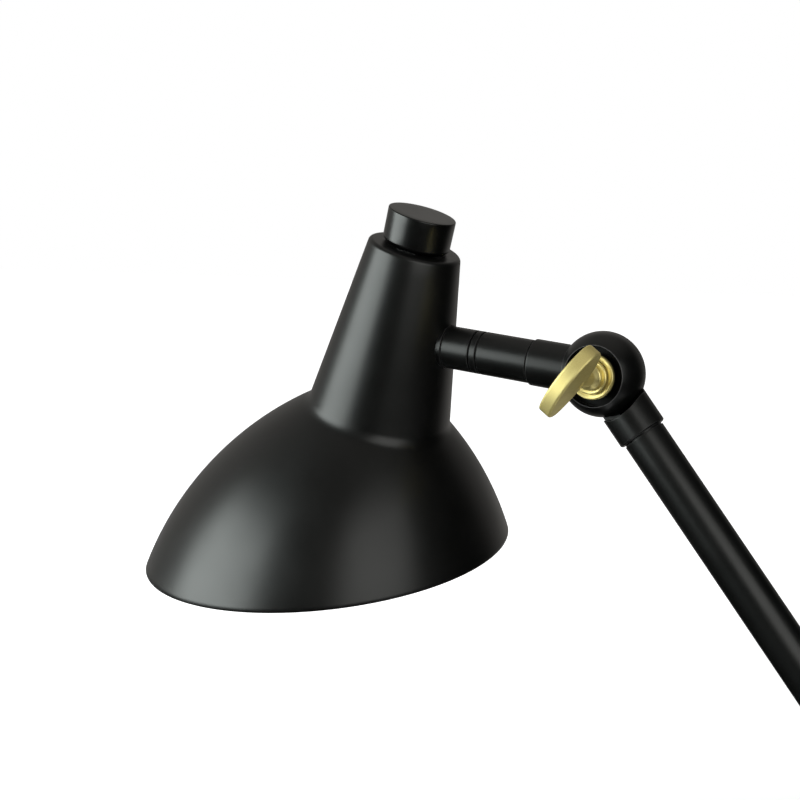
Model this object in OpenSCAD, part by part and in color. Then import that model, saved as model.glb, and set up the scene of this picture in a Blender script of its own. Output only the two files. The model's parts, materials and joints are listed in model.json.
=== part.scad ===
// Adjustable desk lamp: round weighted base, short stem, one straight arm,
// two split-ball knuckles with thumb screws, and a swivelling spun shade.
// Millimetres, +Z up. The origin is the centre of the base on the desk, the
// lamp plane is XZ, the shade is towards -X and the thumb screws face -Y.

/* [Pose] */
// Lean of the arm from upright, towards the shade
arm_lean = 38.2; // [10:0.1:60]
// Rise of the stub above level, from the upper pivot to the shade
stub_rise = 6.1; // [-20:0.1:40]
// Turn of the shade about the stub
shade_turn = -7.9; // [-60:0.1:60]

/* [Tubes] */
// Outside diameter of the arm, stem and stub tubes
tube_d = 16; // [14:0.5:17]
// Wall of the tubes
tube_wall = 1; // [0.8:0.1:1.4]
// Distance between the two knuckle pivots
arm_len = 355; // [250:5:450]
// Height of the lower pivot above the desk
pivot_h = 72; // [66:1:110]

/* [Knuckles] */
// Diameter of the split ball
ball_d = 31; // [30:0.5:36]
// Gap between the two half balls, filled by the friction disc
split_gap = 0.5; // [0.4:0.1:1]
// Radius about the pivot to which a neck is cut back beside the other half
relief_r = 16.7; // [16.5:0.1:20]
// Wall of the ferrule, where the screw half goes over into its tube
ferrule_wall = 0.6; // [0.4:0.1:1]
// Distance from the pivot to the end of the ferrule
ferrule_end = 27.2; // [25:0.1:28]
// Length of the spigot that holds a tube on the ferrule
spigot_len = 5; // [3:0.5:6]
// Wall of the collar, where the nut half holds the arm tube
collar_wall = 1.25; // [1:0.05:2]
// Chamfer of the ferrule's and the collar's ends
neck_edge = 0.5; // [0.2:0.1:0.6]
// Width of the shadow line turned into a tube where it meets its ferrule
ferrule_line = 0.4; // [0.2:0.1:0.8]
// Width of the shadow line turned into the arm tube beside its collar
collar_line = 0.8; // [0.4:0.1:1.2]
// Depth of the shadow lines
line_depth = 0.4; // [0.2:0.1:0.5]
// Distance from the pivot to the end of the collar
collar_end = 25.9; // [23:0.1:30]
// Distance from the pivot to the tube's end inside the collar
tube_start = 17.8; // [17.5:0.1:20]
// Diameter of the round recess round the thumb screw
recess_d = 21.6; // [19:0.1:23]
// Distance from the pivot plane to the floor of the recess
recess_floor = 7.4; // [6:0.1:9]
// Depth of the ring-shaped lead chamber in each half ball
chamber_depth = 3.5; // [2:0.1:4]
// Inner diameter of the lead chamber
chamber_in_d = 10; // [9:0.5:11]
// Outer diameter of the lead chamber
chamber_out_d = 19; // [16:0.5:21]
// Diameter of the lead passage through the necks
lead_d = 6.5; // [4:0.5:7]

/* [Thumb screws] */
// Thread diameter of the thumb screw
screw_d = 6; // [5:0.5:7]
// How far the screw reaches past the pivot plane
screw_reach = 10.5; // [8:0.5:11]
// Diameter of the dished washer
washer_d = 16.2; // [15:0.1:17]
// Height of the dished washer, from the floor of the recess
washer_h = 5.2; // [4:0.1:6]
// Rounding of the dished washer's upper edge
washer_round = 1.2; // [0.5:0.1:1.3]
// Diameter of the turned step on the washer
low_step_d = 12; // [10.5:0.1:13]
// Diameter of the turned step above it
high_step_d = 9; // [8:0.1:10]
// Height of each turned step
step_h = 1.5; // [1:0.1:2]
// Length of the cone between the upper step and the wing's stem
stem_cone_h = 2; // [1:0.1:3]
// Chamfer of the turned steps
step_edge = 0.3; // [0.1:0.1:0.4]
// Length of the oval wing
wing_len = 28; // [24:1:34]
// Width of the oval wing, along the screw
wing_w = 17; // [15:1:20]
// Thickness of the wing
wing_t = 5; // [4:0.5:6]
// Rounding of the wing's edge
wing_edge = 0.8; // [0.4:0.1:1.2]
// Distance from the pivot plane to the wing
wing_start = 25; // [22:0.5:28]
// How deep the stem is let into the wing
wing_root = 3; // [2:0.5:5]
// Turn of the upper wing from level
upper_wing_angle = 53; // [0:1:180]
// Turn of the lower wing from level
lower_wing_angle = 20; // [0:1:180]

/* [Swivel] */
// Distance from the upper pivot to the end of the stub tube
stub_end = 47; // [46:0.1:50]
// Diameter of the hollow threaded nipple
nipple_d = 10; // [9:0.5:10]
// Bore of the nipples
nipple_bore = 7; // [5:0.5:7.5]
// Length of the swivel bush in the stub tube
bush_len = 9.4; // [8:0.1:10]
// Length of the swivel nut behind the bush
swivel_nut_len = 3; // [2:0.1:3.5]
// How far the swivel nipple stands out behind that nut
swivel_tail = 0.5; // [0.2:0.1:0.8]
// Thickness of the swivel washer
swivel_washer_h = 0.4; // [0.3:0.1:0.6]
// Length of the ring between the two grooves
ring_w = 2.1; // [1:0.1:3]
// Width of each groove beside the ring
groove_w = 0.8; // [0.5:0.1:1.2]
// Depth of the grooves
groove_depth = 0.7; // [0.4:0.1:1]
// Length of the sleeve between the ring and the shade
sleeve_len = 11.6; // [8:0.1:20]
// Distance from the saddle's thin line to the shade
saddle_len = 0.9; // [0.8:0.1:2]
// Width and depth of that line
saddle_line = 0.4; // [0.2:0.1:0.6]
// Step out of the saddle that meets the shade
saddle_out = 0.3; // [0:0.1:1]
// Thickness of the washer inside the neck, in its middle
seat_washer_t = 0.6; // [0.4:0.1:1]

/* [Shade] */
// Tilt of the stub against square to the shade's axis
seat_tilt = 12; // [9:0.1:14]
// Depth of the point where the stub's line meets the shade's axis
seat_depth = 35.2; // [33:0.1:38]
// Sheet thickness of the shade
shade_wall = 1; // [0.8:0.1:1.5]
// Diameter of the flat top
neck_top_d = 34.3; // [32:0.1:40]
// Half angle of the conical neck
neck_angle = 9.2; // [7:0.1:11]
// Length of the conical neck, down to the dome
neck_len = 66.8; // [62:0.1:72]
// Rounding of the top edge
top_edge = 1.6; // [1.5:0.1:3]
// Radius of the dome's profile arc
dome_r = 149; // [140:1:155]
// Distance of the dome arc's centre beyond the axis
dome_back = 66.9; // [60:0.1:72]
// Concave rounding between the neck and the dome
waist_r = 8; // [3:0.5:10]
// Depth of the rim plane on the axis
rim_depth = 128.4; // [124:0.1:132]
// Slope of the rim plane against square to the axis
rim_slope = 19.8; // [10:0.1:20]

/* [Switch] */
// Diameter of the switch knob
knob_d = 24.4; // [22:0.1:28]
// Height of the knob
knob_h = 12.4; // [9:0.1:16]
// Gap between the shade's top and the knob
knob_gap = 1.3; // [0.8:0.1:3]
// Chamfer of the knob's top edge
knob_edge = 0.5; // [0.3:0.1:1]
// Bevel of the knob's lower edge
knob_bevel = 1; // [0.5:0.1:1.5]
// Diameter of the rotary switch body
switch_d = 23; // [18:0.5:24]
// Height of the rotary switch body
switch_h = 16; // [12:0.5:18]
// Diameter of the switch shaft
shaft_d = 6; // [4:0.5:6]
// Thickness of the switch body below its shaft
switch_floor = 3; // [2:0.5:4]
// How far the switch's threaded neck stands out of its ring nut
switch_neck_out = 0.8; // [0.5:0.1:1.2]
// Room above that neck inside the knob
knob_room = 0.7; // [0.4:0.1:1]
// Thickness of the knob above its bore
knob_crown = 3; // [2:0.5:4]

/* [Lampholder and bulb] */
// Thickness of the steel bracket strip
strip_t = 1.5; // [1:0.1:2]
// Width of the bracket strip
strip_w = 18; // [16:0.5:20]
// Depth of the bracket's shelf below the shade's top
shelf_depth = 47; // [47:0.5:50]
// How far the bracket's leg reaches above the stub's line
leg_rise = 13; // [10:0.5:14]
// How deep the nipple goes into the lampholder
holder_grip = 8; // [6:0.5:9]
// Outside diameter of the lampholder
holder_d = 28; // [26:0.5:30]
// Overall length of the lampholder
holder_len = 42; // [40:0.5:44]
// Inside diameter of the lampholder's thread shell
socket_d = 14; // [13.9:0.05:14.1]
// Wall of the thread shell
shell_t = 0.6; // [0.4:0.1:1]
// Gap between the lampholder's mouth and the bulb's glass
glass_gap = 0.5; // [0.3:0.1:1]
// Diameter of the round bulb
bulb_d = 45; // [40:1:46]
// Length of the bulb's glass below the lampholder
glass_len = 48; // [46:1:52]
// Wall of the bulb's glass
glass_wall = 0.9; // [0.6:0.1:1.2]
// Length of the bulb's screw cap
cap_len = 20; // [18:0.5:22]

/* [Base] */
// Diameter of the base
base_d = 190; // [170:1:220]
// Height of the base's top above the desk
base_h = 20; // [18:0.5:26]
// Rounding of the cover's upper edge
base_edge = 8; // [4:0.5:10]
// Sheet thickness of the cover
cover_wall = 1.2; // [0.8:0.1:1.6]
// Thickness of the pad under the base
pad_h = 2; // [1.5:0.1:3]
// Distance from the desk to the cover's lower edge
cover_lift = 1; // [0.5:0.1:1.4]
// How far the pad stays inside the cover's inner wall
pad_inset = 1.5; // [1:0.5:4]
// Diameter of the flange round the stem
flange_d = 40; // [34:1:60]
// Thickness of the flange at its edge
flange_h = 3; // [2:0.5:5]
// Diameter of the socket that stands on the flange
flange_hub_d = 21; // [20:0.5:24]
// Height of the flange and its socket together
flange_hub_h = 8; // [6:0.5:10]
// Length of the bush between the tie rod and the stem tube
stem_bush_len = 10; // [8:0.5:10]
// Diameter of the pocket under the weight for the nut
nut_pocket_d = 28; // [26:1:34]
// Height of that pocket above the pad
nut_pocket_h = 9; // [8.5:0.5:11]
// Height of the lead gland's axis above the desk
gland_z = 7; // [7:0.5:8]
// Diameter of the lead gland's flanges
gland_d = 10; // [9:0.5:11]
// Diameter of the lead gland's waist, in the cover's hole
gland_waist_d = 7.4; // [6.5:0.1:8]
// Bore of the lead gland
gland_bore = 5.6; // [4:0.1:6]
// How far the gland stands out of the cover outside
gland_out = 1.6; // [1:0.1:3]
// How far the gland reaches past the cover inside
gland_in = 2.2; // [1.5:0.1:3]
// Width of the lead channel under the weight
channel_w = 12; // [12:0.5:14]

/* [Fasteners] */
// Distance across the flats of the nipple nuts
nut_af = 14; // [12.5:0.5:16]
// Height of the nipple nuts
nut_h = 3; // [2:0.5:4]
// How far a nipple or rod stands out of its nut
thread_out = 1.5; // [0.5:0.1:2]
// Height of the switch's ring nut
ring_nut_h = 2; // [1.5:0.1:2.5]
// Distance across the flats of the nut under the base
base_nut_af = 17; // [14:0.5:19]
// Height of the nut under the base
base_nut_h = 4; // [3:0.5:4.5]
// Diameter of the washer under the base
base_washer_d = 22; // [18:0.5:25]
// Thickness of the washer under the base
base_washer_h = 1.5; // [1:0.1:1.6]

/* [Fits] */
// Radial clearance of a pin or nipple that turns in its bore
running_gap = 0.05; // [0.02:0.01:0.1]
// Clearance between pieces that are fixed to each other
seat_gap = 0.05; // [0.02:0.01:0.1]
// Clearance between loose housings
loose_gap = 0.3; // [0.2:0.05:0.5]
// Room round the corners of a nut
nut_room = 1; // [0.5:0.1:2]

/* [Hidden] */
$fn = 96;
eps = 0.01;
far = 400;

tube_r = tube_d / 2;
bore_r = tube_r - tube_wall;
ball_r = ball_d / 2;
ferrule_r = tube_r + ferrule_wall;
collar_r = tube_r + collar_wall;
nipple_r = nipple_d / 2;
screw_r = screw_d / 2;
lead_r = lead_d / 2;
half_face = split_gap / 2;
lead_start = chamber_in_d / 2 + 1;
disc_rim = 1.2;
disc_room = 0.4;
tap_room = 0.5;
nut_corner = nut_af / 2 / cos(30);
upper_pivot = [-arm_len * sin(arm_lean), 0, pivot_h + arm_len * cos(arm_lean)];

// places along the stub, from the upper pivot
bush_start = stub_end - bush_len;
swivel_washer_start = bush_start - running_gap - swivel_washer_h;
swivel_nut_start = swivel_washer_start - swivel_nut_len;
nipple_start = swivel_nut_start - swivel_tail;
ring_start = stub_end + running_gap;
ring_end = ring_start + 2 * groove_w + ring_w;

// the stub's line meets the neck's outer cone at this distance from the axis
cone_reach = (neck_top_d / 2 + seat_depth * tan(neck_angle))
    / (cos(seat_tilt) + sin(seat_tilt) * tan(neck_angle));
inner_reach = cone_reach - shade_wall;
shade_reach = ring_end + sleeve_len + cone_reach;
saddle_start = ring_end + sleeve_len - saddle_len;
seat_bow = inner_reach - sqrt(pow(inner_reach, 2) - pow(strip_w / 2, 2));
seat_face = shade_reach - inner_reach + seat_bow + seat_washer_t;
bracket_face = seat_face + strip_t;
seat_nut_end = bracket_face + nut_h;
nipple_end = seat_nut_end + thread_out;

// shade profile
dome_depth = neck_len + sqrt(pow(dome_r, 2) - pow(neck_r(neck_len) + dome_back, 2));
dome_centre = [-dome_back, -dome_depth];
neck_normal = [cos(neck_angle), sin(neck_angle)];
edge_centre = [neck_r(top_edge) - top_edge / cos(neck_angle), -top_edge];
waist_centre = waist_place();
waist_turn = 360 + atan2(dome_centre[1] - waist_centre[1], dome_centre[0] - waist_centre[0]);
knob_bottom = knob_gap;
knob_top = knob_gap + knob_h;
switch_bottom = -shade_wall - switch_h;
shaft_bottom = switch_bottom + switch_floor;

// lampholder and bulb, as depths below the shade's top
holder_top = shelf_depth + strip_t;
holder_mouth = holder_top + holder_len;
holder_cap_h = 14;
holder_shoulder = 4;
holder_cap_wall = 2.2;
holder_cap_pocket = 5;
holder_lip = 0.8;
holder_lip_h = 3;
shell_r = socket_d / 2 + shell_t;
shell_inset = 0.5;
cap_r = socket_d / 2 - 0.1;
cap_wall = 0.5;
cap_end_r = 4;
cap_taper = 2;
tip_r = 2.8;
tip_end_r = 2;
tip_h = 1;
contact_r = 3;
contact_h = 1.2;
glass_top = holder_mouth + glass_gap;
glass_low = glass_top + glass_len;
glass_neck_r = 9;
glass_spigot = 5;
spigot_r = cap_r - cap_wall - seat_gap;
socket_depth = cap_len - glass_gap + seat_gap + contact_h;

// tie rod of the stem
base_nut_start = pad_h + nut_pocket_h - base_washer_h - base_nut_h;
stem_bush_end = base_h + stem_bush_len;
hub_round = 0.6;

function neck_r(depth) = neck_top_d / 2 + depth * tan(neck_angle);

// points along an arc, from one polar angle to another
function arc(centre, r, from, to, steps) =
    [for (i = [0:steps]) let (a = from + (to - from) * i / steps)
        centre + r * [cos(a), sin(a)]];

function reversed(points) = [for (i = [len(points) - 1:-1:0]) points[i]];

// centre of the arc that touches the neck's line and the dome's arc from outside
function waist_place() =
    let (start = [neck_top_d / 2, 0] + waist_r * neck_normal - dome_centre,
         step = [tan(neck_angle), -1],
         a = step * step,
         b = start * step,
         c = start * start - pow(dome_r + waist_r, 2))
    start + dome_centre + step * ((-b - sqrt(b * b - a * c)) / a);

// ---------------------------------------------------------------- places

// lower pivot, with +Z along the arm
module on_arm() {
    translate([0, 0, pivot_h]) rotate([0, -arm_lean, 0]) children();
}

// upper pivot, with +Z back down the arm
module on_arm_top() {
    on_arm() translate([0, 0, arm_len]) rotate([0, 180, 0]) children();
}

// lower pivot, with +Z down the stem
module on_stem() {
    translate([0, 0, pivot_h]) rotate([0, 180, 0]) children();
}

// upper pivot, with +Z along the stub towards the shade
module on_stub() {
    translate(upper_pivot) rotate([0, stub_rise - 90, 0]) children();
}

// the stub's frame, turned with the shade
module on_head() {
    on_stub() rotate([0, 0, shade_turn]) children();
}

// the shade's frame: centre of the flat top, +Z up the axis, +X to the arm
module in_shade() {
    on_head()
        translate([0, 0, shade_reach])
            rotate([0, 90 + seat_tilt, 0])
                translate([0, 0, seat_depth]) children();
}

// pivot plane, with +Z out along the thumb screw and +X level
module along_screw(turn) {
    rotate([90, 0, 0]) rotate([0, 0, turn]) children();
}

// ---------------------------------------------------------------- shared shapes

module ring(r_out, r_in, z0, z1) {
    difference() {
        translate([0, 0, z0]) cylinder(r = r_out, h = z1 - z0);
        translate([0, 0, z0 - 1]) cylinder(r = r_in, h = z1 - z0 + 2);
    }
}

// hexagon nut with its corners chamfered at both ends
module hex_nut(across, height, bore) {
    flat_r = across / 2;
    corner_r = flat_r / cos(30);
    chamfer = (corner_r - flat_r) * tan(30);
    difference() {
        intersection() {
            cylinder(r = corner_r, h = height, $fn = 6);
            rotate_extrude()
                polygon([
                    [0, 0], [flat_r, 0], [corner_r, chamfer],
                    [corner_r, height - chamfer], [flat_r, height], [0, height]
                ]);
        }
        translate([0, 0, -1]) cylinder(r = bore, h = height + 2);
    }
}

// half of the ball, on the side of -Y (side = -1) or +Y (side = 1)
module half_ball(side) {
    intersection() {
        sphere(r = ball_r);
        translate([-far / 2, side < 0 ? -far - half_face : half_face, -far / 2])
            cube([far, far, far]);
    }
}

// neck of a half ball, with a chamfered end, cut back round the other half
module relieved_neck(r, end, side) {
    difference() {
        rotate_extrude()
            polygon([[0, 0], [r, 0], [r, end - neck_edge], [r - neck_edge, end], [0, end]]);
        intersection() {
            rotate([90, 0, 0]) cylinder(r = relief_r, h = far, center = true);
            translate([-far / 2, side < 0 ? -half_face : half_face - far, -far / 2])
                cube([far, far, far]);
        }
    }
}

// ring-shaped room for the leads, beside the split
module lead_chamber(side) {
    rotate([side < 0 ? 90 : -90, 0, 0])
        ring(chamber_out_d / 2, chamber_in_d / 2, half_face - 1, half_face + chamber_depth);
}

// ---------------------------------------------------------------- knuckles

// half that holds the thumb screw's head: half ball, ferrule and spigot
module screw_half() {
    difference() {
        union() {
            half_ball(-1);
            relieved_neck(ferrule_r, ferrule_end, -1);
            translate([0, 0, ferrule_end - eps])
                cylinder(r = bore_r - seat_gap, h = spigot_len + eps);
        }
        along_screw(0) translate([0, 0, -1]) cylinder(r = screw_r + running_gap, h = far);
        along_screw(0) translate([0, 0, recess_floor]) cylinder(d = recess_d, h = far);
        lead_chamber(-1);
        translate([0, 0, lead_start]) cylinder(r = lead_r, h = far);
    }
}

// half that the screw is tapped into: half ball and collar for the tube
module nut_half() {
    difference() {
        union() {
            half_ball(1);
            relieved_neck(collar_r, collar_end, 1);
        }
        along_screw(0)
            translate([0, 0, -screw_reach - tap_room])
                cylinder(r = screw_r + running_gap, h = far);
        translate([0, 0, tube_start]) cylinder(r = tube_r + seat_gap, h = far);
        lead_chamber(1);
        translate([0, 0, lead_start]) cylinder(r = lead_r, h = far);
    }
}

module friction_disc() {
    thickness = split_gap - 2 * seat_gap;
    rotate([90, 0, 0])
        ring(ball_r - disc_rim, chamber_out_d / 2 + disc_room, -thickness / 2, thickness / 2);
}

module dished_washer() {
    bore = screw_r + loose_gap;
    r = washer_d / 2;
    along_screw(0) translate([0, 0, recess_floor])
        rotate_extrude()
            polygon(concat(
                [[bore, 0], [r - step_edge, 0], [r, step_edge]],
                arc([r - washer_round, washer_h - washer_round], washer_round, 0, 90, 6),
                [[bore, washer_h]]
            ));
}

// oval wing outline from four arcs, as a disc of the wing's thickness with
// a rounded edge; the two flat arcs meet the two end arcs at their tangents
module wing() {
    a = wing_len / 2;
    b = wing_w / 2;
    end_r = b * 2 / 3;
    flat_r = (pow(a - end_r, 2) + pow(b, 2) - pow(end_r, 2)) / (2 * (b - end_r));
    for (side = [-1, 1])
        intersection() {
            translate([0, -side * (flat_r - b), 0]) rounded_disc(flat_r);
            wing_sector(a - end_r, flat_r - b, side);
        }
    for (side = [-1, 1])
        translate([side * (a - end_r), 0, 0]) rounded_disc(end_r);
}

// the wedge in which a flat arc bounds the wing, from the arc's centre
module wing_sector(end_x, centre_y, side) {
    translate([0, 0, -wing_t])
        linear_extrude(2 * wing_t)
            polygon([
                [-end_x, 0], [end_x, 0],
                [end_x * 2, side * centre_y], [-end_x * 2, side * centre_y]
            ]);
}

module rounded_disc(r) {
    half_t = wing_t / 2;
    rotate_extrude() {
        translate([0, -half_t]) square([r - wing_edge, wing_t]);
        translate([0, wing_edge - half_t]) square([r, wing_t - 2 * wing_edge]);
        translate([r - wing_edge, half_t - wing_edge]) circle(wing_edge);
        translate([r - wing_edge, wing_edge - half_t]) circle(wing_edge);
    }
}

// outline of half the screw, without its wing: shank, two turned steps, cone, stem
function screw_line() =
    let (seat = recess_floor + washer_h,
         low_top = seat + step_h,
         high_top = low_top + step_h,
         low_r = low_step_d / 2,
         high_r = high_step_d / 2)
    [
        [0, -screw_reach], [screw_r - step_edge, -screw_reach], [screw_r, step_edge - screw_reach],
        [screw_r, seat], [low_r, seat],
        [low_r, low_top - step_edge], [low_r - step_edge, low_top], [high_r, low_top],
        [high_r, high_top - step_edge], [high_r - step_edge, high_top],
        [screw_r, high_top + stem_cone_h], [screw_r, wing_start + wing_root],
        [0, wing_start + wing_root]
    ];

module thumb_screw(turn) {
    along_screw(turn) {
        rotate_extrude() polygon(screw_line());
        translate([0, 0, wing_start + wing_w / 2]) rotate([90, 0, 0]) wing();
    }
}

// ---------------------------------------------------------------- base

// cross-section of the base, set in by inset, from the height low
module base_section(inset, low) {
    r = base_d / 2 - inset;
    top = base_h - inset;
    edge = base_edge - inset;
    translate([0, low]) square([r, top - edge - low]);
    translate([0, low]) square([r - edge, top - low]);
    translate([r - edge, top - edge]) circle(edge);
}

module base_pad() {
    color("dimgray")
        cylinder(d = base_d - 2 * (cover_wall + pad_inset), h = pad_h);
}

module base_weight() {
    color("gray") difference() {
        translate([0, 0, loose_gap])
            rotate_extrude() base_section(cover_wall + loose_gap, pad_h - loose_gap);
        translate([0, 0, -1]) cylinder(r = nipple_r + loose_gap, h = far);
        translate([0, 0, pad_h - 1]) cylinder(d = nut_pocket_d, h = nut_pocket_h + 1);
        translate([0, -channel_w / 2, pad_h - 1])
            cube([far, channel_w, gland_z + gland_d / 2 + loose_gap - pad_h + 1]);
    }
}

module base_cover() {
    color([0.05, 0.05, 0.05]) difference() {
        rotate_extrude() base_section(0, cover_lift);
        rotate_extrude() base_section(cover_wall, -1);
        cylinder(r = nipple_r + loose_gap, h = far);
        translate([0, 0, gland_z]) rotate([0, 90, 0])
            cylinder(d = gland_waist_d + 2 * seat_gap, h = far);
    }
}

// rubber gland in the cover's rear wall, empty
module lead_gland() {
    outer = base_d / 2;
    inner = outer - cover_wall;
    color([0.1, 0.1, 0.1]) difference() {
        union() {
            difference() {
                translate([inner, 0, gland_z]) rotate([0, 90, 0])
                    cylinder(d = gland_d, h = cover_wall + gland_out);
                cylinder(r = outer + seat_gap, h = far);
            }
            intersection() {
                translate([inner - gland_in, 0, gland_z]) rotate([0, 90, 0])
                    cylinder(d = gland_d, h = gland_in + cover_wall);
                cylinder(r = inner - seat_gap, h = far);
            }
            translate([inner - gland_in, 0, gland_z]) rotate([0, 90, 0])
                cylinder(d = gland_waist_d, h = gland_in + cover_wall + gland_out);
        }
        translate([0, 0, gland_z]) rotate([0, 90, 0]) cylinder(d = gland_bore, h = far);
    }
}

module base_washer() {
    color("silver")
        ring(base_washer_d / 2, nipple_r + seat_gap,
             base_nut_start + base_nut_h, pad_h + nut_pocket_h);
}

module base_nut() {
    color("silver")
        translate([0, 0, base_nut_start])
            hex_nut(base_nut_af, base_nut_h, nipple_r + seat_gap);
}

// hollow threaded rod that ties the stem to the base
module base_rod() {
    color("silver") ring(nipple_r, nipple_bore / 2, base_nut_start - thread_out, stem_bush_end);
}

module stem_flange() {
    r = flange_d / 2;
    soft = flange_h / 2;
    hub_r = flange_hub_d / 2;
    color([0.05, 0.05, 0.05]) translate([0, 0, base_h]) difference() {
        rotate_extrude() {
            square([r - soft, flange_h]);
            square([r, flange_h - soft]);
            translate([r - soft, flange_h - soft]) circle(soft);
            square([hub_r, flange_hub_h - hub_round]);
            square([hub_r - hub_round, flange_hub_h]);
            translate([hub_r - hub_round, flange_hub_h - hub_round]) circle(hub_round);
        }
        translate([0, 0, -1]) cylinder(r = tube_r + seat_gap, h = far);
    }
}

module stem_bush() {
    color("silver") ring(bore_r - seat_gap, nipple_r + seat_gap, base_h, stem_bush_end);
}

module stem_tube() {
    top = pivot_h - ferrule_end;
    color([0.05, 0.05, 0.05]) {
        ring(tube_r, bore_r, base_h, top - ferrule_line);
        ring(tube_r - line_depth, bore_r, base_h, top);
    }
}

// ---------------------------------------------------------------- arm

// the tube, with a shadow line beside the collar at each end
module arm_tube() {
    far_line = arm_len - collar_end - collar_line;
    color([0.05, 0.05, 0.05]) on_arm() difference() {
        ring(tube_r, bore_r, tube_start, arm_len - tube_start);
        ring(tube_r + line_depth, tube_r - line_depth, collar_end, collar_end + collar_line);
        ring(tube_r + line_depth, tube_r - line_depth, far_line, far_line + collar_line);
    }
}

// ---------------------------------------------------------------- stub and swivel

module stub_tube() {
    color([0.05, 0.05, 0.05]) on_stub() {
        ring(tube_r, bore_r, ferrule_end + ferrule_line, stub_end);
        ring(tube_r - line_depth, bore_r, ferrule_end, stub_end);
    }
}

module swivel_bush() {
    color("gold") on_stub()
        ring(bore_r - seat_gap, nipple_r + running_gap, bush_start, stub_end);
}

module swivel_washer() {
    color("white") on_head()
        ring(bore_r - loose_gap, nipple_r + running_gap, swivel_washer_start,
             swivel_washer_start + swivel_washer_h);
}

module swivel_nut() {
    color("silver") on_head()
        ring(bore_r - loose_gap, nipple_r + seat_gap, swivel_nut_start, swivel_washer_start);
}

module swivel_nipple() {
    color("silver") on_head() ring(nipple_r, nipple_bore / 2, nipple_start, nipple_end);
}

module swivel_ring() {
    inner = nipple_r + seat_gap;
    color([0.05, 0.05, 0.05]) on_head() {
        ring(tube_r - groove_depth, inner, ring_start, ring_end);
        ring(tube_r, inner, ring_start + groove_w, ring_start + groove_w + ring_w);
    }
}

// short sleeve that carries the shade: beyond a thin line its saddle is cut to
// the neck's cone
module seat_sleeve() {
    saddle = saddle_start + saddle_line;
    color([0.05, 0.05, 0.05]) difference() {
        on_head() {
            translate([0, 0, ring_end]) cylinder(r = tube_r, h = saddle_start - ring_end);
            translate([0, 0, saddle_start - eps])
                cylinder(r = tube_r - saddle_line, h = saddle_line + 2 * eps);
            translate([0, 0, saddle]) cylinder(r = tube_r + saddle_out, h = shade_reach - saddle);
        }
        in_shade() shade_body(-seat_gap);
        on_head() cylinder(r = nipple_r + seat_gap, h = shade_reach);
    }
}

// ---------------------------------------------------------------- shade

// outline of half the shade from the flat top down, set in by inset
function shade_line(inset) = concat(
    arc(edge_centre, top_edge - inset, 90, neck_angle, 6),
    arc(waist_centre, waist_r + inset, 180 + neck_angle, waist_turn, 8),
    arc(dome_centre, dome_r - inset, waist_turn - 180, 0, 28)
);

// the whole space inside the outline; a negative inset sets it out
module shade_body(inset) {
    line = shade_line(inset);
    low = line[len(line) - 1][1];
    rotate_extrude() polygon(concat([[0, -inset]], line, [[0, low]]));
}

// the sheet, open at the foot of the dome
module shade_sheet() {
    rotate_extrude()
        polygon(concat(
            [[0, 0]], shade_line(0), reversed(shade_line(shade_wall)), [[0, -shade_wall]]
        ));
}

// everything below the sloping rim plane
module below_rim() {
    translate([0, 0, -rim_depth]) rotate([0, -rim_slope, 0])
        translate([-far / 2, -far / 2, -far]) cube([far, far, far]);
}

module shade() {
    color([0.05, 0.05, 0.05]) difference() {
        in_shade() difference() {
            shade_sheet();
            below_rim();
            translate([0, 0, -shade_wall - 1]) cylinder(r = nipple_r + seat_gap, h = far);
        }
        on_head() cylinder(r = nipple_r + seat_gap, h = shade_reach);
    }
}

// washer inside the neck, curved on one side and flat on the other
module seat_washer() {
    color("silver") difference() {
        intersection() {
            on_head() translate([0, 0, ring_end]) cylinder(r = tube_r, h = seat_face - ring_end);
            in_shade() shade_body(shade_wall + seat_gap);
        }
        on_head() cylinder(r = nipple_r + seat_gap, h = shade_reach);
    }
}

module seat_nut() {
    color("silver") on_head() translate([0, 0, bracket_face])
        rotate([0, 0, 30]) hex_nut(nut_af, nut_h, nipple_r + seat_gap);
}

// ---------------------------------------------------------------- switch

module switch_body() {
    color([0.12, 0.12, 0.12]) in_shade() difference() {
        union() {
            translate([0, 0, switch_bottom]) cylinder(d = switch_d, h = switch_h);
            translate([0, 0, shaft_bottom])
                cylinder(r = nipple_r, h = ring_nut_h + switch_neck_out - shaft_bottom);
        }
        translate([0, 0, shaft_bottom]) cylinder(r = shaft_d / 2 + running_gap, h = far);
    }
}

module switch_nut() {
    color("silver") in_shade() hex_nut(nut_af, ring_nut_h, nipple_r + seat_gap);
}

module switch_shaft() {
    color("silver") in_shade()
        translate([0, 0, shaft_bottom + running_gap])
            cylinder(d = shaft_d, h = knob_top - knob_crown - knob_room - shaft_bottom);
}

module switch_knob() {
    r = knob_d / 2;
    color([0.05, 0.05, 0.05]) in_shade() difference() {
        rotate_extrude()
            polygon([
                [0, knob_bottom], [r - knob_bevel, knob_bottom], [r, knob_bottom + knob_bevel],
                [r, knob_top - knob_edge], [r - knob_edge, knob_top], [0, knob_top]
            ]);
        cylinder(r = nut_corner + nut_room, h = ring_nut_h + switch_neck_out + knob_room);
        cylinder(r = shaft_d / 2 + seat_gap, h = knob_top - knob_crown);
    }
}

// ---------------------------------------------------------------- lampholder

// point of the bracket's leg in the shade's plane: out from the axis along the
// stub's line, and down the leg to the given depth
function leg_point(out, depth) =
    let (down = (depth - seat_depth + out * sin(seat_tilt)) / cos(seat_tilt))
    [out * cos(seat_tilt) + down * sin(seat_tilt), -depth];

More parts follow.
